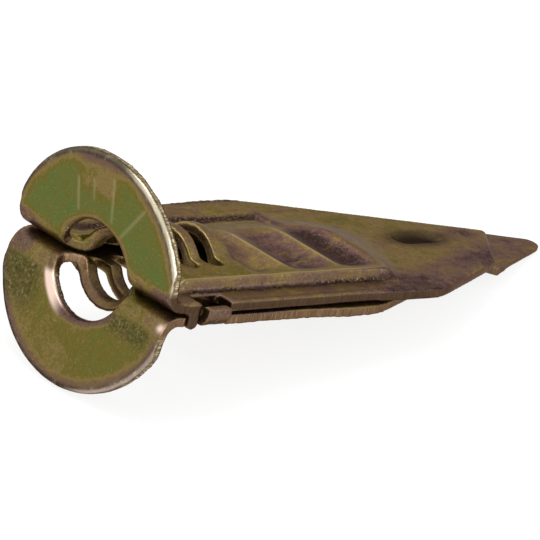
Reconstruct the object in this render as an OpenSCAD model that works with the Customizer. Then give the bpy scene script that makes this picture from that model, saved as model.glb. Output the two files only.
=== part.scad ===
// Two-leg hammer-in anchor for plasterboard. Two leaves of stamped sheet lie
// face to face. Each has a half-round flange turned up at one end and a long
// leg pressed out along its middle into half of a screw channel. Small hooks
// at the neck tie the leaves together, and the legs swing apart about it.
// The anchor lies on the rim of its lower flange and on its point.

/* [Sheet] */
// Thickness of the sheet
sheet_t = 0.6; // [0.45:0.05:0.8]
// Thickness of the sheet where the drive point is coined thin
point_t = 0.38; // [0.2:0.02:0.44]
// Air between the two leaves along the parting plane
leaf_gap = 0.18; // [0.06:0.02:0.3]

/* [Flange] */
// Radius of the round head that both flanges make together
head_r = 6.7; // [6.4:0.05:7]
// Radius of the screw hole through the flanges
hole_r = 2.75; // [2.6:0.05:3]
// Angle by which each flange leans away from the point
flange_lean = 7; // [2:0.5:9]
// Inside radius of the fold between flange and leg
fold_r = 0.7; // [0.4:0.05:1]
// Radius of the roll on the rim at the front of the flange
rim_round = 0.6; // [0.2:0.05:0.8]
// Radius of the roll on the hole's edge at the front of the flange
hole_round = 0.5; // [0.2:0.05:0.6]

/* [Leg outline] */
// Length from the front of the head to the drive point
anchor_len = 36.8; // [32:0.2:44]
// Half of the leg's width behind the neck
leg_half_w = 6.35; // [6:0.05:7]
// Distance from the head at which the early side begins to taper
early_start = 17.3; // [16:0.1:19]
// Distance from the head at which the long side begins to taper
long_start = 22.2; // [20.5:0.2:24]
// Sideways taper of the early side for each unit of length
early_slope = 0.386; // [0.34:0.002:0.42]
// Distance from the head to the long corner of the upper leaf's blunt end
blunt_start = 29.1; // [27:0.1:30]
// Distance from the head to the early corner of the upper leaf's blunt end
blunt_end = 32.3; // [31.5:0.1:33]
// Width left at the early corner of the blunt end
blunt_tip_w = 0.35; // [0.2:0.05:0.6]
// Distance from the head at which the drive point steps out past the leg
barb_start = 29.7; // [29:0.1:31]
// Extra width of the long side's shoulder
shoulder_w = 0.25; // [0:0.05:0.4]
// Plan radius of the drive point
point_r = 0.7; // [0.5:0.05:1]

/* [Channel] */
// Inside radius of the screw channel
channel_r = 1.75; // [1.5:0.05:1.9]
// Height by which the panel is pressed up out of the leg
panel_rise = 0.6; // [0.4:0.05:0.7]
// Distance from the middle to the panel's edge on the long side
panel_long_w = 4.55; // [4.2:0.05:4.8]
// Distance from the middle to the panel's edge on the early side
panel_early_w = 4.3; // [4.1:0.05:4.5]
// Length of the sloping wall at the panel's edges
panel_wall = 0.22; // [0.15:0.01:0.3]
// Depth of the groove along the panel's early side
groove_depth = 0.15; // [0:0.01:0.2]
// Distance from the head at which the groove stops
groove_end = 16.8; // [15:0.1:17.5]
// Distance from the head to the front edge of the channel
channel_front = 1.5; // [1.4:0.05:1.9]
// Distance from the head at which the channel begins to close
channel_full = 7.5; // [7.3:0.1:8]
// Distance from the head at which the channel is closed
channel_end = 10.6; // [10:0.1:11]
// Distance from the head at which the panel's edges run out
panel_end = 19.8; // [19.4:0.1:20.4]
// Distance by which the panel runs on in its middle
panel_tail = 2.6; // [1:0.1:3.5]

/* [Slots and ribs] */
// Number of slots that the screw thread catches in
slot_count = 3; // [1:1:3]
// Distance from the head to the middle of the first slot
slot_first = 2.9; // [2.75:0.05:3]
// Distance between slots
slot_pitch = 1.9; // [1.8:0.02:2]
// Width of a slot along the anchor
slot_w = 1.05; // [0.7:0.05:1.2]
// Half of a slot's length across the channel
slot_half_len = 3; // [2.5:0.05:3.3]
// Distance from the head to the first rib
rib_first = 11.35; // [11:0.05:11.6]
// Distance between ribs
rib_pitch = 3.9; // [3.7:0.05:4]
// Depth of the hollows between the ribs
rib_depth = 0.42; // [0.2:0.02:0.45]

/* [Neck] */
// Distance from the head to the near edge of the hook
hook_x = 1.7; // [1.6:0.05:2.6]
// Width of the hook along the anchor
hook_w = 0.8; // [0.6:0.05:0.9]
// Reach of the hook past the parting plane
hook_reach = 0.85; // [0.5:0.05:1]
// Air around the hook in the other leaf's notch
hook_clear = 0.22; // [0.15:0.01:0.3]
// Length of the ear behind the hook
ear_len = 1.75; // [1.2:0.05:2]
// Depth of the notch in which the other leaf's ear stands
notch_depth = 1.15; // [0.9:0.05:1.3]
// Distance by which the ear stands out past the leg's edge
ear_out = 0.4; // [0.2:0.05:0.5]
// Outside radius of the ear's bend
ear_bend_r = 0.8; // [0.65:0.05:1]
// Reach of the ear past the parting plane
ear_reach = 0.5; // [0.2:0.05:0.6]
// Width of the slit behind the ear
slit_w = 0.16; // [0.1:0.02:0.3]
// Depth of the slit behind the ear
slit_depth = 0.95; // [0.5:0.05:1.2]

/* [Dimple] */
// Distance from the head to the middle of the dimple
dimple_x = 26; // [25:0.1:27]
// Length of the dimple between the centres of its ends
dimple_len = 2.4; // [1:0.1:4]
// Width of the dimple at the surface
dimple_w = 1.5; // [0.8:0.05:1.8]
// Depth of the dimple
dimple_depth = 0.3; // [0.1:0.02:0.36]

/* [Hidden] */
$fn = 96;

little = 0.01;
beyond = 20;
upper_color = "#8a7440";
lower_color = "#7d7a3c";

// Levels of the sheet above the parting plane
inner_z = leaf_gap / 2;
outer_z = inner_z + sheet_t;
crest_z = channel_r + sheet_t;

// Fold between flange and leg, tangent to the flange's front and the leg's inner face
fold_out_r = fold_r + sheet_t;
fold_z = inner_z + fold_out_r;
fold_x = (fold_out_r - fold_z * sin(flange_lean)) / cos(flange_lean);
fold_lap = 0.4;
fold_inset = 0.1;
fold_steps = 20;
head_depth = 3;

// Drive point: the long side runs tangent to a small circle at the tip
point_centre_x = anchor_len - point_r;
point_run = point_centre_x - long_start;
point_taper = atan(leg_half_w / point_run) - asin(point_r / norm([point_run, leg_half_w]));
point_tangent_x = point_centre_x + point_r * sin(point_taper);
corner_soften = 0.2;
barb_steepness = 3;
coin_len = 2.5;
shoulder_run = 7;

// Hook, notch and ear along the two sides of the neck
hook_end = hook_x + hook_w;
ear_start = hook_end + hook_clear;
ear_end = ear_start + ear_len;
ear_face_y = leg_half_w + ear_out;
ear_steps = 8;
gap_y = leg_half_w - sheet_t - hook_clear;

// Rolled edges of the flange: angle at which each meets the faces
edge_roll_angle = 30;
edge_air = 0.2;
bore_end = 0.65;
funnel_step = 0.2;

// Relief of the leg
panel_start = 1.7;
panel_run = 0.9;
panel_fade = 1.5;
roll_start = 0.4;
roll_end = panel_early_w - 0.3;
groove_run = 0.4;
rib_lead_share = 0.8;
rib_start = rib_first - rib_pitch * rib_lead_share;
rib_run = 1;
rib_fade = 1;
rib_steep_share = 0.4;
rib_edge = 0.55;
rib_roll_end = 2.8;

// Lying pose: back rim of the lower flange and underside of the point touch
rim_low_x = sheet_t * cos(flange_lean) - head_r * sin(flange_lean);
rim_low_z = -head_r * cos(flange_lean) - sheet_t * sin(flange_lean);
point_low_z = -inner_z - point_t;
rest_dip = atan((point_low_z - rim_low_z) / (anchor_len - rim_low_x));
rest_lift = rim_low_x * sin(rest_dip) - rim_low_z * cos(rest_dip);
rest_lean = flange_lean + rest_dip;
rim_front_r = head_r - rim_round * (cos(edge_roll_angle) - sin(edge_roll_angle));
rest_min_x = -rim_front_r * sin(rest_lean);
rest_max_x = anchor_len * cos(rest_dip) - inner_z * sin(rest_dip);
rest_centre_x = (rest_min_x + rest_max_x) / 2;

// Eases from 0 at a to 1 at b
function ease(a, b, x) =
    let (s = max(0, min(1, (x - a) / (b - a))))
    s * s * (3 - 2 * s);
// Smaller of two values, rounded where they cross
function soft_min(a, b) = (a + b - sqrt((a - b) * (a - b) + corner_soften * corner_soften)) / 2;
function arch(r, y) = sqrt(max(0, r * r - y * y));

// Half-widths of the outline on its two sides
function long_side(x) =
    x > point_tangent_x
        ? arch(point_r, x - point_centre_x)
        : soft_min(
            leg_half_w + shoulder_w * ease(long_start - shoulder_run, long_start - shoulder_run / 3, x),
            leg_half_w - (x - long_start) * tan(point_taper)
        );
function early_side(x) =
    soft_min(
        leg_half_w + shoulder_w * ease(early_start - shoulder_run, early_start - shoulder_run / 3, x),
        leg_half_w - (x - early_start) * early_slope
    );
function drive_side(x) =
    x < barb_start
        ? early_side(x)
        : min(long_side(x), early_side(barb_start) + (x - barb_start) * barb_steepness);
function blunt_share(x) = max(0, (x - blunt_start) / (blunt_end - blunt_start));
function blunt_side(x) =
    let (corner = long_side(blunt_start))
    corner - blunt_share(x) * (corner + early_side(blunt_end) - blunt_tip_w);

// Sideways place of a station that would lie at y on the full-width leg
function side_y(x, y, drive) =
    let (share = abs(y) / leg_half_w)
    drive
        ? (y < 0 ? -share * long_side(x) : share * drive_side(x))
        : x < blunt_start
            ? (y < 0 ? -share * long_side(x) : share * early_side(x))
            : let (low = -blunt_side(x))
              low + (y / leg_half_w + 1) / 2 * (early_side(x) - low);

// Share of the channel's height, closing towards the point
function crest_share(x) = 1 - ease(channel_full, channel_end, x);
// Share of the panel's rise, which starts behind the fold and runs out in an arc
function panel_share(x, y) =
    let (across = min(1, abs(y) / panel_long_w))
    let (run_out = panel_end + panel_tail * (1 - across * across))
    ease(panel_start, panel_start + panel_run, x) * (1 - ease(panel_end - panel_fade, run_out, x));
// The panel rolls down towards its early side, into a groove that stops short
function roll_share(y) = ease(roll_start, roll_end, y);
function groove_share(x) =
    ease(panel_start, panel_start + panel_run, x) * (1 - ease(groove_end - groove_run, groove_end, x));
function on_panel(y) = y < 0 ? -y < panel_long_w + panel_wall / 2 : y < panel_early_w + panel_wall / 2;
function panel_z(x, y) =
    on_panel(y)
        ? panel_rise * panel_share(x, y) * (1 - roll_share(y)) - groove_depth * groove_share(x) * roll_share(y)
        : 0;
// Hollow between ribs, with a sharp crest at each rib
function rib_hollow(x) =
    let (phase = (x - rib_first) / rib_pitch)
    let (p = phase - floor(phase))
    let (rise = (p - rib_steep_share) / (1 - rib_steep_share))
    let (turn = p < rib_steep_share ? p / rib_steep_share * 90 : 90 + rise * 90)
    rib_depth * sin(turn);
function rib_share(x, y) =
    ease(rib_start, rib_start + rib_run, x)
    * (1 - ease(rib_first + 2 * rib_pitch - rib_fade, rib_first + 2 * rib_pitch, x))
    * (1 - ease(panel_long_w - 2 * rib_edge, panel_long_w - rib_edge / 2, -y))
    * (1 - ease(roll_start, rib_roll_end, y));

// Height of the leg's face over the parting plane, for a channel face of radius r
function face_z(x, y, level, r) =
    let (base = level + panel_z(x, y))
    base + max(0, arch(r, y) - base) * crest_share(x) - rib_hollow(x) * rib_share(x, y);
function point_share(x, drive) = drive ? ease(barb_start, barb_start + coin_len, x) : 0;
function outer_face(x, y, drive) =
    face_z(x, y, outer_z, crest_z) - (sheet_t - point_t) * point_share(x, drive);
function inner_face(x, y) = face_z(x, y, inner_z, channel_r);

// Stations across the leg, from its long side to its early side
arch_angles = [30, 45, 60, 75];
long_stations = concat(
    [leg_half_w, panel_long_w + panel_wall, panel_long_w, panel_long_w - rib_edge],
    [(panel_long_w - rib_edge + crest_z) / 2],
    [for (a = arch_angles) crest_z * cos(a)]
);
early_stations = concat(
    [leg_half_w, panel_early_w + panel_wall, panel_early_w, roll_end],
    [(roll_end + crest_z) / 2],
    [for (a = arch_angles) crest_z * cos(a)]
);
stations = concat(
    [for (y = long_stations) -y],
    [0],
    [for (i = [len(early_stations) - 1:-1:0]) early_stations[i]]
);

// Stations along the leg
steps_per_rib = 10;
ribs_before = 1;
ribs_after = 3;
rib_zone_start = rib_first - ribs_before * rib_pitch;
rib_zone_end = rib_first + ribs_after * rib_pitch;
rib_steps = (ribs_before + ribs_after) * steps_per_rib;
taper_steps = 6;
blunt_steps = 6;
coin_shares = [0, 0.12, 0.28, 1];
tip_steps = 7;
tip_last_angle = 88;
tip_step_angle = (tip_last_angle - point_taper) / tip_steps;
function along(drive) = concat(
    [fold_x + fold_lap / 2, panel_start, panel_start + panel_run / 2, panel_start + panel_run],
    [(panel_start + panel_run + rib_zone_start) / 2],
    [for (i = [0:rib_steps]) rib_zone_start + (rib_zone_end - rib_zone_start) * i / rib_steps],
    [for (i = [1:taper_steps]) rib_zone_end + (blunt_start - rib_zone_end) * i / taper_steps],
    drive
        ? concat(
            [for (share = coin_shares) barb_start + coin_len * share],
            [(barb_start + coin_len + point_tangent_x) / 2],
            [for (i = [0:tip_steps]) point_centre_x + point_r * sin(point_taper + tip_step_angle * i)]
        )
        : [for (i = [1:blunt_steps]) blunt_start + (blunt_end - blunt_start) * i / blunt_steps]
);

// Leg: a sheet skinned over the stations
module leg_skin(drive) {
    xs = along(drive);
    m = len(stations);
    rings = len(xs);
    ring = 2 * m;
    points = [
        for (x = xs)
            each concat(
                [for (y = stations) [x, side_y(x, y, drive), outer_face(x, y, drive)]],
                [for (y = stations) [x, side_y(x, y, drive), inner_face(x, y)]]
            )
    ];
    function at(i, j) = i * ring + j;
    outer_faces = [
        for (i = [0:rings - 2], j = [0:m - 2])
            [at(i, j), at(i, j + 1), at(i + 1, j + 1), at(i + 1, j)]
    ];
    inner_faces = [
        for (i = [0:rings - 2], j = [0:m - 2])
            [at(i + 1, m + j), at(i + 1, m + j + 1), at(i, m + j + 1), at(i, m + j)]
    ];
    long_edge = [for (i = [0:rings - 2]) [at(i, 0), at(i + 1, 0), at(i + 1, m), at(i, m)]];
    early_edge = [
        for (i = [0:rings - 2]) [at(i, 2 * m - 1), at(i + 1, 2 * m - 1), at(i + 1, m - 1), at(i, m - 1)]
    ];
    head_end = [for (j = [0:m - 2]) [at(0, m + j), at(0, m + j + 1), at(0, j + 1), at(0, j)]];
    point_end = [
        for (j = [0:m - 2])
            [at(rings - 1, j), at(rings - 1, j + 1), at(rings - 1, m + j + 1), at(rings - 1, m + j)]
    ];
    faces = concat(outer_faces, inner_faces, long_edge, early_edge, head_end, point_end);
    polyhedron(points, faces);
}

// Section of the round head, with a rolled front rim
module head_section() {
    roll_centre = rim_round * cos(edge_roll_angle);
    difference() {
        translate([0, -edge_air])
            square([head_r, edge_air + head_depth]);
        difference() {
            translate([head_r - roll_centre, -2 * edge_air])
                square([roll_centre + edge_air, roll_centre + 2 * edge_air]);
            translate([head_r - roll_centre, roll_centre])
                circle(rim_round);
        }
    }
}

module on_flange() {
    rotate([0, 90 - flange_lean, 0])
        children();
}

// Section of the flange and of the fold that turns it into the leg
module flange_section() {
    flange_way = [-sin(flange_lean), cos(flange_lean)];
    turn = (90 - flange_lean) / fold_steps;
    bend = [for (i = [0:fold_steps]) [-cos(90 - i * turn), -sin(90 - i * turn)]];
    front = bend[fold_steps];
    polygon(concat(
        [[fold_lap, -fold_out_r]],
        [for (way = bend) fold_out_r * way],
        [fold_out_r * front + 2 * head_r * flange_way],
        [fold_r * front + 2 * head_r * flange_way],
        [for (i = [fold_steps:-1:0]) fold_r * bend[i]],
        [[fold_lap, -fold_r]]
    ));
}

// Half-round flange and fold, cut round from the folded sheet
module flange() {
    intersection() {
        translate([fold_x, 0, fold_z])
            rotate([90, 0, 0])
                linear_extrude(2 * (leg_half_w - fold_inset), center = true)
                    flange_section();
        on_flange()
            rotate_extrude()
                head_section();
    }
}

// Hook on the long side, reaching past the parting plane into the other leaf
module hook() {
    tip_r = hook_w / 2;
    translate([hook_x, -leg_half_w, tip_r - hook_reach])
        cube([hook_w, sheet_t, outer_z + hook_reach - tip_r]);
    translate([hook_x + tip_r, -leg_half_w, tip_r - hook_reach])
        rotate([-90, 0, 0])
            cylinder(r = tip_r, h = sheet_t);
}

// Ear on the early side, bent past the parting plane into the other leaf's notch
module ear() {
    bend_y = ear_face_y - ear_bend_r;
    bend_z = outer_z - ear_bend_r;
    bend = [for (i = [0:ear_steps]) 90 - i * 90 / ear_steps];
    translate([ear_end, 0, 0])
        rotate([0, -90, 0])
            linear_extrude(ear_len)
                polygon(concat(
                    [[inner_z, gap_y - sheet_t], [outer_z, gap_y - sheet_t]],
                    [for (a = bend) [bend_z + ear_bend_r * sin(a), bend_y + ear_bend_r * cos(a)]],
                    [[-ear_reach, ear_face_y], [-ear_reach, ear_face_y - sheet_t]],
                    [[inner_z, ear_face_y - sheet_t]]
                ));
}

// Screw hole through the flange with its front edge rounded, and a funnel into the channel
module hole_cutter() {
    rotate([0, 90, 0])
        rotate_extrude()
            polygon([
                [0, -head_r],
                [hole_r, -head_r],
                [hole_r, bore_end],
                [channel_r + funnel_step, channel_front],
                [0, channel_front]
            ]);
    roll_centre = hole_round * cos(edge_roll_angle);
    on_flange()
        rotate_extrude()
            translate([hole_r, 0])
                difference() {
                    translate([-edge_air, -edge_air])
                        square(roll_centre + edge_air);
                    translate([roll_centre, roll_centre])
                        circle(hole_round);
                }
}

// True round wall of the screw channel where it is fully open
module channel_cutter() {
    rotate([0, 90, 0])
        cylinder(r = channel_r, h = channel_full);
}

// Slot across the channel with round ends
module slot_cutter() {
    end_y = slot_half_len - slot_w / 2;
    translate([-slot_w / 2, -end_y, 0])
        cube([slot_w, 2 * end_y, beyond]);
    for (side = [-1, 1])
        translate([0, side * end_y, 0])
            cylinder(d = slot_w, h = beyond);
}

module slots_cutter() {
    for (i = [0:slot_count - 1])
        translate([slot_first + i * slot_pitch, 0, 0])
            slot_cutter();
}

// Notch beside the hook on the long side, where the other leaf's ear stands
module notch_cutter() {
    translate([hook_end, -leg_half_w - beyond, 0])
        cube([ear_len + 2 * hook_clear, beyond + notch_depth, beyond]);
}

// Gap for the other leaf's hook, seat of the ear, and the slit behind it
module early_side_cutter() {
    translate([hook_x - hook_clear, gap_y, 0])
        cube([ear_end - hook_x + hook_clear, beyond, beyond]);
    translate([ear_end, leg_half_w - slit_depth, 0])
        cube([slit_w, beyond, beyond]);
}

// Long shallow dimple, a round bar's mark with round ends
module dimple_cutter() {
    bar_r = (dimple_w * dimple_w / 4 + dimple_depth * dimple_depth) / (2 * dimple_depth);
    translate([dimple_x, 0, outer_z + bar_r - dimple_depth]) {
        rotate([0, 90, 0])
            cylinder(r = bar_r, h = dimple_len, center = true);
        for (side = [-1, 1])
            translate([side * dimple_len / 2, 0, 0])
                sphere(bar_r);
    }
}

// One stamped leaf, seen as the upper one, in line with the anchor's axis
module leaf(drive) {
    difference() {
        union() {
            flange();
            difference() {
                leg_skin(drive);
                early_side_cutter();
            }
            ear();
            hook();
        }
        hole_cutter();
        channel_cutter();
        slots_cutter();
        notch_cutter();
        dimple_cutter();
    }
}

// Lying pose, with the origin under the middle of the anchor
module lie_down() {
    translate([-rest_centre_x, 0, rest_lift])
        rotate([0, rest_dip, 0])
            children();
}

module upper_leaf() {
    color(upper_color)
        lie_down()
            leaf(false);
}

module lower_leaf() {
    color(lower_color)
        lie_down()
            rotate([180, 0, 0])
                leaf(true);
}

lower_leaf();
upper_leaf();
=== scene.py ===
import bpy
import math
import numpy as np
from mathutils import Matrix, Vector, noise


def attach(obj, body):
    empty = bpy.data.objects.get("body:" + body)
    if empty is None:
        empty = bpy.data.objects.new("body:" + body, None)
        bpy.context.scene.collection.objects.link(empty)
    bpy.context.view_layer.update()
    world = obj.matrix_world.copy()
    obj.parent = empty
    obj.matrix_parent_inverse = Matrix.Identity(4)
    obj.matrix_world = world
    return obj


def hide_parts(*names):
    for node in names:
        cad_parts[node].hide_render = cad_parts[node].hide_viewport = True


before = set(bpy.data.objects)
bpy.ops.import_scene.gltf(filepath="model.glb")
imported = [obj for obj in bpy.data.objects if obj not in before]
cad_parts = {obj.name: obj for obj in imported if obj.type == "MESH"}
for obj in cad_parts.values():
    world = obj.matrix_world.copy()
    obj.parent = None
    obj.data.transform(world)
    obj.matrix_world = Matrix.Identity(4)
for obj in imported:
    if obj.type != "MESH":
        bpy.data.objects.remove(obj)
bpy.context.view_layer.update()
print("loaded the two leaves")

# Anchor's own axes, in mm: x from the head to the point, y across, z up out of the parting plane
lying = {"dip": 9.58728, "lift": 6.59247, "middle": 17.21052}


def stampToRow(turned):
    dip = Matrix.Rotation(math.radians(lying["dip"]), 4, "Y")
    shift = Matrix.Translation((-lying["middle"], 0, lying["lift"]))
    turn = Matrix.Rotation(math.pi if turned else 0, 4, "X")
    return Matrix.Scale(0.001, 4) @ shift @ dip @ turn


# Camera

cameraView = {
    "place": (-0.19925, -0.18241, 0.13042),
    "turn": (64.3341, -8.4939, -43.0090),  # degrees about x, y, z
    "lens": 353.6,
}
camera = bpy.data.objects.new("camera", bpy.data.cameras.new("camera"))
bpy.context.scene.collection.objects.link(camera)
camera.location = cameraView["place"]
camera.rotation_euler = [math.radians(a) for a in cameraView["turn"]]
camera.data.lens = cameraView["lens"]
camera.data.sensor_width = 36
camera.data.clip_start = 0.01
camera.data.clip_end = 5
bpy.context.scene.camera = camera
print("camera placed")


# Shader helpers


class Nodes:
    def __init__(self, material):
        material.use_nodes = True
        self.tree = material.node_tree
        self.tree.nodes.clear()

    def add(self, kind, settings=None, inputs=None):
        node = self.tree.nodes.new(kind)
        for name, value in (settings or {}).items():
            setattr(node, name, value)
        for name, value in (inputs or {}).items():
            self.feed(node.inputs[name], value)
        return node

    def feed(self, socket, value):
        if isinstance(value, bpy.types.NodeSocket):
            self.tree.links.new(value, socket)
        else:
            socket.default_value = value

    def mask(self, name):
        return self.add("ShaderNodeAttribute", {"attribute_name": name}).outputs["Fac"]

    def math(self, operation, a, b=0.5, c=0.5, clamp=False):
        node = self.add("ShaderNodeMath", {"operation": operation, "use_clamp": clamp})
        for socket, value in zip(node.inputs, (a, b, c)):
            self.feed(socket, value)
        return node.outputs[0]

    def span(self, value, low, high, toLow=0.0, toHigh=1.0):
        return self.add(
            "ShaderNodeMapRange",
            {"interpolation_type": "SMOOTHSTEP"},
            {"Value": value, "From Min": low, "From Max": high, "To Min": toLow, "To Max": toHigh},
        ).outputs[0]

    def noise(self, where, scale, detail=3.0, roughness=0.55, distortion=0.0):
        return self.add(
            "ShaderNodeTexNoise",
            None,
            {"Vector": where, "Scale": scale, "Detail": detail, "Roughness": roughness, "Distortion": distortion},
        ).outputs["Fac"]

    def stretch(self, where, scale, turn=(0, 0, 0)):
        return self.add(
            "ShaderNodeMapping", None, {"Vector": where, "Scale": scale, "Rotation": [math.radians(a) for a in turn]}
        ).outputs[0]

    def ramp(self, value, stops):
        node = self.add("ShaderNodeValToRGB", None, {"Fac": value})
        node.color_ramp.interpolation = "EASE"
        elements = node.color_ramp.elements
        while len(elements) > 1:
            elements.remove(elements[-1])
        elements[0].position, elements[0].color = stops[0][0], paint(stops[0][1])
        for place, colour in stops[1:]:
            elements.new(place).color = paint(colour)
        return node.outputs[0]

    def mix(self, share, a, b, blend="MIX"):
        node = self.add("ShaderNodeMix", {"data_type": "RGBA", "blend_type": blend})
        self.feed(node.inputs[0], share)
        self.feed(node.inputs[6], a if isinstance(a, bpy.types.NodeSocket) else paint(a))
        self.feed(node.inputs[7], b if isinstance(b, bpy.types.NodeSocket) else paint(b))
        return node.outputs[2]


def paint(colour):
    # screen colour of 0 to 255 as the renderer's linear one
    line = [c / 255 for c in colour[:3]]
    return [c / 12.92 if c <= 0.04045 else ((c + 0.055) / 1.055) ** 2.4 for c in line] + [1.0]


# Plated finish

plating = {
    # thin-film colours of the passivated zinc, by film value
    "film": [
        (0.00, (58, 45, 45)),
        (0.14, (86, 66, 65)),
        (0.28, (108, 84, 75)),
        (0.42, (115, 93, 66)),
        (0.56, (128, 109, 64)),
        (0.70, (107, 97, 43)),
        (0.84, (100, 103, 50)),
        (1.00, (88, 106, 54)),
    ],
    "cut": [(0.25, (84, 63, 46)), (0.5, (116, 90, 66)), (0.75, (148, 120, 90))],
    "rimCut": [(0.3, (88, 72, 52)), (0.5, (150, 132, 96)), (0.7, (222, 210, 174))],
    # painted dark reflection and grey sheen on the rolled rim
    "rim": [(0.3, (46, 38, 30)), (0.5, (70, 60, 44)), (0.72, (130, 122, 106))],
    # painted shade for the creases, with sparkle
    "shadeLines": [(0.38, (38, 30, 27)), (0.55, (74, 59, 49)), (0.68, (156, 138, 108))],
    # speckled crumpled metal near the neck, darkened as painted shade
    "crumpleShade": [(0.34, (44, 38, 25)), (0.52, (82, 76, 44)), (0.7, (144, 140, 98))],
    "brightSpeck": (176, 162, 122),
    "darkSpeck": (48, 40, 34),
    "shadedCut": (60, 46, 36),
    "gold": (146, 124, 70),
    "violet": (84, 68, 70),
    "mark": (146, 138, 96),
    # colour of the painted highlight lines
    "crest": (176, 156, 98),
    "pit": (42, 35, 31),
    "edgeTint": (0.47, 0.42, 0.41, 1),
}

# noise in the plating: scale per mm, detail, roughness, distortion
texture = {
    "clouds": (0.55, 4, 0.6, 0.9),
    "streaks": (1.6, 3, 0.55, 0.5),
    "patches": (1.5, 5, 0.7, 0.6),
    "gold": (0.9, 5, 0.65, 0.8),
    "violet": (1.3, 5, 0.7, 0.5),
    "grains": (6.5, 3, 0.7),
    "specks": (9.0, 2, 0.75),
    "crumpleShade": (4.5, 4, 0.75),
    "rim": (1.95, 4, 0.65),
    "cut": (1.0, 2, 0.65),
    "sparkle": (5.5, 3, 0.8),
    "scratches": (1.6, 2, 0.5),
    "fine": (16.0, 2, 0.6),
}
patchShare = 0.8
bumpDepth = 0.00002


def platedMetal(name, look):
    material = bpy.data.materials.new(name)
    n = Nodes(material)
    where = n.add("ShaderNodeAttribute", {"attribute_name": "stamp"}).outputs["Vector"]
    cut = n.mask("cut")
    flange = n.mask("flange")
    shadeLines = n.mask("shadeLines")
    rim = n.mask("rim")
    mark = n.mask("mark")

    clouds = n.noise(n.stretch(where, (0.6, 1.0, 1.0)), *texture["clouds"])
    streaks = n.noise(n.stretch(where, (0.3, 1.6, 1.6), (0, 0, 14)), *texture["streaks"])
    grains = n.noise(where, *texture["grains"])
    patches = n.math("SUBTRACT", n.noise(where, *texture["patches"]), 0.5)
    patches = n.math("MULTIPLY", patches, patchShare)
    onLeg = n.math("SUBTRACT", 1.0, flange)
    film = n.math("ADD", n.mask("film"), n.math("MULTIPLY", patches, onLeg))
    for noiseValue, share in ((clouds, look["clouds"]), (streaks, look["streaks"]), (grains, look["grains"])):
        film = n.math("ADD", film, n.math("MULTIPLY", n.math("SUBTRACT", noiseValue, 0.5), share))
    colour = n.ramp(film, plating["film"])

    gold = n.noise(n.stretch(where, (0.5, 1.0, 1.0)), *texture["gold"])
    gold = n.span(gold, 0.54, 0.68, 0, 0.55)
    colour = n.mix(n.math("MULTIPLY", gold, onLeg), colour, plating["gold"])
    violet = n.noise(n.stretch(where, (0.8, 1.0, 1.0), (0, 0, 40)), *texture["violet"])
    violet = n.span(violet, 0.56, 0.7, 0, 0.5)
    colour = n.mix(n.math("MULTIPLY", violet, onLeg), colour, plating["violet"])

    speck = n.noise(where, *texture["specks"])
    speckShare = n.math("MULTIPLY", look["speck"], n.math("SUBTRACT", 2.2, n.math("MULTIPLY", flange, 1.2)))
    colour = n.mix(n.math("MULTIPLY", n.span(speck, 0.57, 0.7), speckShare), colour, plating["brightSpeck"])
    colour = n.mix(n.math("MULTIPLY", n.span(speck, 0.43, 0.3), speckShare), colour, plating["darkSpeck"])
    # painted highlight along the crests and lips
    colour = n.mix(n.math("MULTIPLY", n.mask("crest"), look["crest"]), colour, plating["crest"])
    colour = n.mix(n.mask("pit"), colour, plating["pit"])
    colour = n.mix(n.math("MULTIPLY", mark, 0.75), colour, plating["mark"])
    # crumpled, speckled metal near the neck; its dark colours are painted shade
    crumpleShade = n.ramp(n.noise(where, *texture["crumpleShade"]), plating["crumpleShade"])
    colour = n.mix(n.math("MULTIPLY", n.mask("crumpleShade"), 0.7), colour, crumpleShade)

    # painted dark reflection and grey sheen on the rolled rim
    rimNoise = n.noise(where, *texture["rim"])
    colour = n.mix(rim, colour, n.ramp(rimNoise, plating["rim"]))
    # painted highlight on the rolled rim, the hole's lip and the glint spots
    colour = n.mix(n.mask("paintedHighlight"), colour, look["highlightColour"])

    legGrain = n.noise(n.stretch(where, (11.0, 11.0, 1.2)), *texture["cut"])
    rimGrain = n.noise(n.stretch(where, (1.4, 9.0, 9.0)), *texture["cut"])
    legCut = n.ramp(legGrain, plating["cut"])
    rimCut = n.ramp(rimGrain, plating["rimCut"])
    cutColour = n.mix(n.mask("cutShade"), n.mix(flange, legCut, rimCut), plating["shadedCut"])
    colour = n.mix(cut, colour, cutColour)

    sparkle = n.noise(where, *texture["sparkle"])
    # painted shade along the panel's foot and the outer edges, with sparkle
    colour = n.mix(shadeLines, colour, n.ramp(sparkle, plating["shadeLines"]))

    grain = n.math("ADD", n.math("MULTIPLY", legGrain, onLeg), n.math("MULTIPLY", rimGrain, flange))
    scratches = n.noise(n.stretch(where, (2.0, 14.0, 0.7), (6, 0, 9)), *texture["scratches"])
    scratches = n.span(scratches, 0.66, 0.74)
    fine = n.noise(where, *texture["fine"])
    height = n.math("ADD", n.math("MULTIPLY", fine, 0.3), n.math("MULTIPLY", grains, 0.5))
    height = n.math("SUBTRACT", height, n.math("MULTIPLY", scratches, 0.3))
    height = n.math("ADD", height, n.math("MULTIPLY", n.math("MULTIPLY", grain, cut), 0.8))
    height = n.math("ADD", height, n.math("MULTIPLY", n.math("MULTIPLY", sparkle, shadeLines), 2.0))
    bump = n.add("ShaderNodeBump", None, {"Height": height, "Distance": bumpDepth, "Strength": look["bump"]})

    rough = n.math("ADD", look["roughness"], n.math("MULTIPLY", n.math("SUBTRACT", grains, 0.5), 0.3))
    rough = n.math("SUBTRACT", rough, n.math("MULTIPLY", n.math("MAXIMUM", cut, rim), 0.08))

    shader = n.add(
        "ShaderNodeBsdfPrincipled",
        None,
        {"Base Color": colour, "Roughness": rough, "Normal": bump.outputs[0]},
    )
    shader.inputs["Metallic"].default_value = look["metallic"]
    shader.inputs["Specular Tint"].default_value = plating["edgeTint"]
    output = n.add("ShaderNodeOutputMaterial")
    n.tree.links.new(shader.outputs[0], output.inputs[0])
    return material


# Leaves

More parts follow.
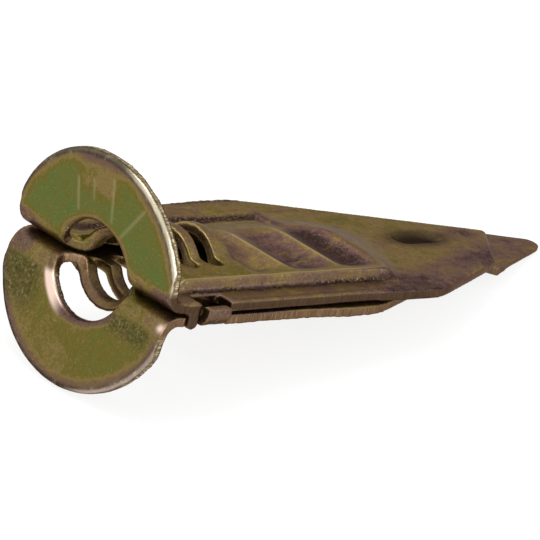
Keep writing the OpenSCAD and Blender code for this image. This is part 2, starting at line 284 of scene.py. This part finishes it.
stamping = {
    "voxel": 0.105,
    "smoothSteps": 6,
    "ribFirst": 11.35,
    "ribPitch": 3.9,
    "ribSteep": 0.4,  # share of the pitch that a rib's steep side takes
    "ribSpan": (8.23, 19.15),
    "ribNear": (3.45, 4.28),
    "ribFar": (0.4, 2.8),
    "crestWidth": 0.13,
    "nearWall": (4.42, 4.9),
    "farWall": (4.2, 4.6),
    "wallEnds": (1.6, 20.5),
    "lean": 7.0,
    "headRadius": 6.7,
    "holeRadius": 2.75,
    "dimplePlace": (25.9, -0.1),
    "dimpleHalf": (2.6, 1.15),
    "stainPlace": (30.0, 0.3),
    "stainHalf": (1.1, 0.6),
    # width of the painted glints, in mm
    "glintWidth": 0.22,
    "waviness": 0.012,
    "seamRough": 0.05,
    "markDepth": 0.045,
    "crumpleDepth": 0.02,
}

# how much each part of the leaf lifts or lowers the film's value
filmPlan = {
    "base": 0.46,
    "drift": 0.2,
    "ripple": 0.16,
    "farSide": 0.16,
    # painted shade where the far groove ends
    "grooveEnd": 0.3,
    "nearSide": 0.1,
    "farStrip": 0.2,
    "hollow": (0.08, 0.42),
    "wall": 0.2,
    "outerEdge": 0.14,
    "stain": 0.26,
    "purple": 0.22,
    "middle": 0.1,
    "rimBrown": 0.38,
    "holeBrown": 0.42,
}


def ease(low, high, x):
    s = np.clip((x - low) / (high - low), 0, 1)
    return s * s * (3 - 2 * s)


def band(x, low, high, soft):
    return ease(low - soft, low + soft, x) * (1 - ease(high - soft, high + soft, x))


def ribWave(p):
    # 0 on a rib's crest, 1 at the bottom of the hollow behind it; and the crests alone
    steep = stamping["ribSteep"]
    start, end = stamping["ribSpan"]
    phase = ((p[:, 0] - stamping["ribFirst"]) / stamping["ribPitch"]) % 1
    turn = np.where(phase < steep, phase / steep, 1 + (phase - steep) / (1 - steep)) * np.pi / 2
    onPanel = ease(start, start + 1, p[:, 0]) * (1 - ease(end - 1, end, p[:, 0]))
    onPanel = onPanel * (1 - ease(*stamping["ribNear"], -p[:, 1])) * (1 - ease(*stamping["ribFar"], p[:, 1]))
    away = np.minimum(phase, 1 - phase) * stamping["ribPitch"]
    return np.sin(turn) * onPanel, np.exp(-((away / stamping["crestWidth"]) ** 2)) * onPanel


def smoothNoise(p, scale, seed):
    shift = Vector((seed * 17.3, seed * 5.1, seed * 9.7))
    return np.array([noise.noise(Vector(q) * scale + shift) for q in p])


def nearLine(p, start, end, width):
    # 1 on the line between two points of the sheet, fading out to its sides
    start, end = np.array(start), np.array(end)
    way = end - start
    share = np.clip((p - start) @ way / (way @ way), 0, 1)
    away = np.linalg.norm(p - start - share[:, None] * way, axis=1)
    return np.exp(-((away / width) ** 2))


def remeshed(node, turned):
    # the leaf in its own axes, with even facets
    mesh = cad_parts[node].data.copy()
    mesh.transform(stampToRow(turned).inverted())
    work = bpy.data.objects.new("work", mesh)
    bpy.context.scene.collection.objects.link(work)
    weld = work.modifiers.new("weld", "WELD")
    weld.merge_threshold = 0.0001
    remesh = work.modifiers.new("remesh", "REMESH")
    remesh.mode = "VOXEL"
    remesh.voxel_size = stamping["voxel"]
    soften = work.modifiers.new("soften", "SMOOTH")
    soften.factor = 0.5
    soften.iterations = stamping["smoothSteps"]
    evaluated = work.evaluated_get(bpy.context.evaluated_depsgraph_get())
    even = bpy.data.meshes.new_from_object(evaluated)
    bpy.data.objects.remove(work)
    return even


def vertexArray(source, what, count):
    values = np.empty(count * 3)
    source.foreach_get(what, values)
    return values.reshape(-1, 3)


def leafPlaces(p, normals, look):
    # which part of the stamping each point belongs to, as shares from 0 to 1
    x, y, z = p[:, 0], p[:, 1], p[:, 2]
    lean = math.radians(stamping["lean"])
    flangeWay = np.array([math.cos(lean), 0, math.sin(lean)])
    facing = -(normals @ flangeWay)
    flange = ease(1.0, 1.5, z) * (1 - ease(0.9, 1.3, x))
    outward = ease(0.2, 0.5, normals[:, 2])
    wallStart, wallEnd = stamping["wallEnds"]
    panelWall = band(-y, *stamping["nearWall"], 0.08) + band(y, *stamping["farWall"], 0.08)
    panelWall = outward * panelWall * (x < wallEnd) * (x > wallStart)
    return {
        "flange": flange,
        "facing": facing,
        "front": flange * ease(0.3, 0.6, facing),
        "outward": outward,
        "leg": (x > 1.5) & (abs(z) < 2.6),
        "panelWall": np.clip(panelWall, 0, 1),
        "reach": np.hypot(y, z / math.cos(lean)),
        "drift": smoothNoise(p, 0.16, look["seed"]),
        "ripple": smoothNoise(p, 0.45, look["seed"] + 3),
    }


def cutEdges(p, normals, at):
    # sheared edges of the sheet, bare of the film; folds, slots and ear faces don't count as edges
    x, y, z = p[:, 0], p[:, 1], p[:, 2]
    onFlange = at["flange"] > 0.5
    cut = np.where(onFlange, 1 - ease(0.06, 0.26, abs(at["facing"])), 1 - ease(0.15, 0.62, abs(normals[:, 2])))
    cut = cut * (1 - 0.65 * (x < 9.5) * (abs(y) < 3.4) * (z > 0.4) * (x > 1.6))
    fold = (x < 1.4) & (z < 1.45)
    cut = np.where(fold, ease(0.6, 0.85, abs(normals[:, 1])), cut)
    bluntEnd = (x > 29) & (normals[:, 0] > 0.75)
    cut = np.where(bluntEnd, 0.2 * cut, cut)
    arch = (z > 0.75) & (x > 1.4) & (abs(y) < 2.6) & (abs(normals[:, 0]) < 0.5)
    cut = np.where(arch, 0, cut) * (1 - at["panelWall"])
    earFace = (x > 2.5) & (x < 4.6) & (y > 6.1) & (normals[:, 1] > 0.4)
    return np.where(earFace, 0, cut)


def crestLines(p, normals, at):
    # painted highlights: bright lines along ribs, the panel's near edge and the slots' lips
    x, y, z = p[:, 0], p[:, 1], p[:, 2]
    crest = ribWave(p)[1] * at["outward"] * (x > 7)
    crest = np.maximum(crest, at["outward"] * band(-y, 4.43, 4.51, 0.05) * band(x, 2.5, 18.5, 0.6))
    slotLip = (np.hypot(x - 4.8, 0.9 * y) < 3.3) * (z > 0.35)
    slotLip = slotLip * ease(0.35, 0.6, -normals[:, 0]) * ease(0.1, 0.35, normals[:, 2])
    return np.maximum(crest, slotLip * (1 - at["flange"]))


def legFilm(p, at):
    x, y = p[:, 0], p[:, 1]
    ripple, plan = at["ripple"], filmPlan
    film = plan["base"] + plan["drift"] * at["drift"] + plan["ripple"] * ripple
    film = film + plan["farSide"] * band(y, 1.4, 5.9, 0.8) * (1 - ease(27, 31, x))
    # painted shade on the far side of the arch, where the groove ends
    film = film - plan["grooveEnd"] * band(x, 16.2, 17.2, 0.3) * band(y, 2, 4.4, 0.4)
    film = film + plan["nearSide"] * band(-y, 3.3, 4.5, 0.2) * (x < 19)
    film = film - plan["farStrip"] * ease(4.4, 4.9, y) * (1 - ease(9, 14, x))
    hollow = ribWave(p)[0] * at["outward"]
    hollowBase, hollowMore = plan["hollow"]  # the hollows darken along the leg
    film = film - hollow * (hollowBase + hollowMore * ease(9, 17.5, x))
    film = film - plan["wall"] * at["panelWall"]
    film = film - plan["outerEdge"] * (y < -4.8) * (1 - ease(20, 24, x))
    (stainX, stainY), (halfX, halfY) = stamping["stainPlace"], stamping["stainHalf"]
    film = film - plan["stain"] * np.exp(-((x - stainX) / halfX) ** 2 - ((y - stainY) / halfY) ** 2)
    purple = ease(-0.5, 0.9, (x - 23.85) / 2.87 - y - 3.2 + 0.8 * ripple) * (1 - 0.35 * ease(30, 33, x))
    purple = np.maximum(purple, np.exp(-((x - 30.2) / 1.3) ** 2 - ((y - 0.1) / 0.55) ** 2))
    middle = band(y, -3.2, 1.0, 0.8) * band(x, 19.5, 28.0, 1.0) * (1 - purple)
    return film - plan["purple"] * purple + plan["middle"] * middle


def flangeFilm(p, at, look):
    # greener in the middle, brown towards the rim and the hole
    y, z = p[:, 1], p[:, 2]
    ripple = at["ripple"]
    film = look["flangeFilm"] + look["flangeDrift"] * at["drift"] + look["flangeRipple"] * ripple
    film = film - look["crownBrown"] * band(y, -1.0, 2.2, 0.7) * ease(3.6, 4.8, z)
    rim, hole = stamping["headRadius"], stamping["holeRadius"]
    film = film - filmPlan["rimBrown"] * ease(rim - 1.1, rim - 0.3, at["reach"] + 0.25 * ripple)
    nearHole = 1 - ease(hole + 0.1, hole + 0.6, at["reach"] + 0.2 * ripple)
    return film - filmPlan["holeBrown"] * nearHole


def groovesAlong(p, at):
    # painted shade: rough dark lines with sparkle at the foot of the raised panel and along both outer edges
    x, y = p[:, 0], p[:, 1]
    wander = 0.12 * at["ripple"]
    shadeLines = band(-y + wander, 4.8, 5.08, 0.08) * band(x, 2.6, 20.4, 0.5) * (0.85 + 0.5 * at["ripple"])
    shadeLines = shadeLines + band(y + wander, 3.7, 4.45, 0.1) * band(x, 1.9, 16.7, 0.12)
    shadeLines = shadeLines + 0.5 * band(-y + 0.4 * wander, 5.95, 6.12, 0.06) * band(x, 5.5, 21.5, 0.5)
    shadeLines = shadeLines + 0.7 * ease(6.0, 6.15, y + 0.4 * wander) * band(x, 1.5, 17.5, 0.5)
    return np.clip(shadeLines, 0, 1) * at["outward"] * at["leg"]


def paintedHighlights(p, at, look):
    # painted highlights: bright colour on the rolled rim, the lip of the hole and small glint spots
    y, z = p[:, 1], p[:, 2]
    rim, hole, reach = stamping["headRadius"], stamping["holeRadius"], at["reach"]
    rolled = at["flange"] * band(at["facing"], 0.42, 0.92, 0.08)
    paintedHighlight = rolled * ease(rim - 0.8, rim - 0.65, reach) * look["rimHighlight"](y, z)
    lip = (1 - ease(hole + 0.4, hole + 0.7, reach)) * ease(0.3, 0.5, at["facing"])
    paintedHighlight = paintedHighlight + 1.7 * at["flange"] * lip * look["holeHighlight"](y, z)
    for glint in look["glints"]:
        paintedHighlight = paintedHighlight + np.exp(-(np.linalg.norm(p - np.array(glint), axis=1) / stamping["glintWidth"]) ** 2)
    return np.clip(paintedHighlight * (0.85 + 0.4 * at["ripple"]), 0, 1)


def formedLeaf(name, node, turned, look):
    mesh = remeshed(node, turned)
    count = len(mesh.vertices)
    p = vertexArray(mesh.vertices, "co", count)
    normals = vertexArray(mesh.vertex_normals, "vector", count)
    x, y, z = p[:, 0], p[:, 1], p[:, 2]
    at = leafPlaces(p, normals, look)
    flange, front = at["flange"], at["front"]

    cut = cutEdges(p, normals, at)
    shadeLines = groovesAlong(p, at)
    # band of painted dark reflection and sheen on the rolled rim
    rim = flange * ease(stamping["headRadius"] - 0.42, stamping["headRadius"] - 0.22, at["reach"]) * (1 - cut)
    (dimpleX, dimpleY), (halfX, halfY) = stamping["dimplePlace"], stamping["dimpleHalf"]
    pit = np.exp(-(((x - dimpleX) / halfX) ** 2 + ((y - dimpleY) / halfY) ** 2) ** 2)
    mark = front * np.max([nearLine(p, *line) for line in look["marks"]], axis=0)
    crumpleShade = band(-y, 3.2, 6.4, 0.7) * band(z, 0.6, 3.8, 0.8) + band(y, 2.4, 5.6, 0.6) * band(z, 1.0, 2.3, 0.4)
    crumpleShade = front * look["crumpleShade"] * crumpleShade
    masks = {
        "film": legFilm(p, at) * (1 - flange) + flangeFilm(p, at, look) * flange,
        "cut": cut,
        "cutShade": look["cutShade"] * (1 - flange) * (y < -5) * (1 - ease(20, 24, x)) + 0.35 * (x > 22),
        "crest": crestLines(p, normals, at),
        "flange": flange,
        "shadeLines": shadeLines,
        "rim": rim,
        "mark": mark,
        "pit": pit * ease(-0.2, 0.2, normals[:, 2]) * at["leg"],
        "crumpleShade": crumpleShade,
        "paintedHighlight": paintedHighlights(p, at, look),
    }

    seed = look["seed"]
    push = stamping["waviness"] * smoothNoise(p, 0.9, seed + 7)
    push = push + stamping["seamRough"] * shadeLines * (smoothNoise(p, 3.1, seed + 9) - 0.3)
    push = push - stamping["markDepth"] * mark
    push = push + stamping["crumpleDepth"] * crumpleShade * smoothNoise(p, 2.2, seed + 11)
    p = p + normals * push[:, None]
    mesh.vertices.foreach_set("co", p.astype(np.float32).ravel())
    for label, values in masks.items():
        layer = mesh.attributes.new(label, "FLOAT", "POINT")
        layer.data.foreach_set("value", values.astype(np.float32))
    layer = mesh.attributes.new("stamp", "FLOAT_VECTOR", "POINT")
    layer.data.foreach_set("vector", p.astype(np.float32).ravel())

    mesh.transform(stampToRow(turned))
    mesh.shade_smooth()
    piece = bpy.data.objects.new(name, mesh)
    bpy.context.scene.collection.objects.link(piece)
    mesh.materials.clear()
    mesh.materials.append(platedMetal(name + "_plating", look))
    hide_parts(node)
    mesh.calc_loop_triangles()
    print(name, "formed,", len(mesh.loop_triangles), "triangles")
    return piece


lowerLook = {
    # colour of the painted highlights
    "highlightColour": (250, 222, 204),
    "rimHighlight": lambda y, z: 0.45 * ease(0.5, 2.5, y) * ease(1.2, 2.2, z),
    "holeHighlight": lambda y, z: ease(0.8, 2.0, -y) * (z > 0.4),
    # places of the painted glints, in mm
    "glints": [(0.0, 6.0, 0.75), (3.2, -6.2, 0.2)],
    "seed": 2,
    "cutShade": 0.0,
    "crumpleShade": 1.0,
    "flangeFilm": 0.72,
    "flangeDrift": 0.1,
    "flangeRipple": 0.1,
    "crownBrown": 0.0,
    "clouds": 0.34,
    "streaks": 0.24,
    "grains": 0.5,
    "speck": 0.22,
    "crest": 0.8,
    "bump": 0.5,
    "roughness": 0.36,
    "metallic": 0.95,
    # start, end, width of the stamping tool's marks, in mm
    "marks": [((0, -3.6, 3.2), (-0.4, -2.4, 4.6), 0.07)],
}
upperLook = {
    # colour of the painted highlights
    "highlightColour": (218, 206, 180),
    "rimHighlight": lambda y, z: ease(0.8, 3.0, -y) * (z > 0.2) + 0.15,
    "holeHighlight": lambda y, z: 0.0 * y,
    "glints": [(4.9, -6.2, 0.3)],
    "seed": 5,
    "cutShade": 0.75,
    "crumpleShade": 0.0,
    "flangeFilm": 0.88,
    "flangeDrift": 0.06,
    "flangeRipple": 0.05,
    "crownBrown": 0.26,
    "clouds": 0.34,
    "streaks": 0.26,
    "grains": 0.26,
    "speck": 0.2,
    "crest": 0.85,
    "bump": 0.35,
    "roughness": 0.34,
    "metallic": 0.95,
    "marks": [
        ((-0.55, 2.1, 4.6), (-0.4, 1.72, 2.9), 0.09),
        ((-0.62, 0.87, 4.9), (-0.52, 0.68, 3.9), 0.07),
        ((-0.66, -0.59, 5.5), (-0.45, -0.91, 3.2), 0.09),
        ((-0.29, -1.77, 2.7), (-0.6, -3.2, 4.8), 0.08),
    ],
}
lower = formedLeaf("lower_leaf_plated", "lower_leaf", True, lowerLook)
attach(lower, "lower")
upper = formedLeaf("upper_leaf_plated", "upper_leaf", False, upperLook)
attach(upper, "upper")


# Floor, studio world and lamps

setting = {"floorSize": 4.0, "floorColour": (232, 232, 232), "floorShade": 0.24, "floorGlow": 0.83, "world": 0.8}
floorMesh = bpy.data.meshes.new("floor")
half = setting["floorSize"] / 2
floorMesh.from_pydata([(-half, -half, 0), (half, -half, 0), (half, half, 0), (-half, half, 0)], [], [(0, 1, 2, 3)])
floor = bpy.data.objects.new("floor", floorMesh)
bpy.context.scene.collection.objects.link(floor)
floorPaint = bpy.data.materials.new("floor_paint")
n = Nodes(floorPaint)
rays = n.add("ShaderNodeLightPath")
seen = n.math("MAXIMUM", rays.outputs["Is Camera Ray"], rays.outputs["Is Glossy Ray"])
seen = n.math("MAXIMUM", seen, rays.outputs["Is Transmission Ray"])
matt = n.add("ShaderNodeBsdfDiffuse", None, {"Color": paint(setting["floorColour"])})
shade = n.add("ShaderNodeBsdfDiffuse", None, {"Color": (setting["floorShade"],) * 3 + (1,)})
glow = n.add("ShaderNodeEmission", None, {"Color": (1, 1, 1, 1), "Strength": setting["floorGlow"]})
both = n.add("ShaderNodeAddShader")
n.tree.links.new(shade.outputs[0], both.inputs[0])
n.tree.links.new(glow.outputs[0], both.inputs[1])
blend = n.add("ShaderNodeMixShader", None, {"Fac": seen})
n.tree.links.new(matt.outputs[0], blend.inputs[1])
n.tree.links.new(both.outputs[0], blend.inputs[2])
output = n.add("ShaderNodeOutputMaterial")
n.tree.links.new(blend.outputs[0], output.inputs[0])
floorMesh.materials.append(floorPaint)

world = bpy.data.worlds.new("studio")
bpy.context.scene.world = world
world.use_nodes = True
w = Nodes(world)
rays = w.add("ShaderNodeLightPath")
seen = w.math("MAXIMUM", rays.outputs["Is Camera Ray"], rays.outputs["Is Glossy Ray"])
seen = w.math("MAXIMUM", seen, rays.outputs["Is Transmission Ray"])
white = w.add("ShaderNodeBackground", None, {"Color": (1, 1, 1, 1), "Strength": 1.0})
soft = w.add("ShaderNodeBackground", None, {"Color": (1, 1, 1, 1), "Strength": setting["world"]})
blend = w.add("ShaderNodeMixShader", None, {"Fac": seen})
w.tree.links.new(soft.outputs[0], blend.inputs[1])
w.tree.links.new(white.outputs[0], blend.inputs[2])
output = w.add("ShaderNodeOutputWorld")
w.tree.links.new(blend.outputs[0], output.inputs[0])

lamps = {
    "front": {"place": (-0.145, -0.257, 0.115), "size": (0.16, 0.2), "power": 0.3},
    "side": {"place": (0.20, -0.21, 0.15), "size": (0.12, 0.12), "power": 0.06},
    "top": {"place": (-0.06, 0.03, 0.32), "size": (0.12, 0.12), "power": 0.2},
    "back": {"place": (0.14, 0.24, 0.16), "size": (0.12, 0.12), "power": 0.05},
}
for name, lamp in lamps.items():
    light = bpy.data.lights.new(name, "AREA")
    light.shape = "RECTANGLE"
    light.size, light.size_y = lamp["size"]
    light.energy = lamp["power"]
    thing = bpy.data.objects.new(name, light)
    thing.location = lamp["place"]
    thing.rotation_euler = (-Vector(lamp["place"])).to_track_quat("-Z", "Y").to_euler()
    bpy.context.scene.collection.objects.link(thing)
bpy.context.scene.view_settings.view_transform = "Standard"
print("floor and lamps set")
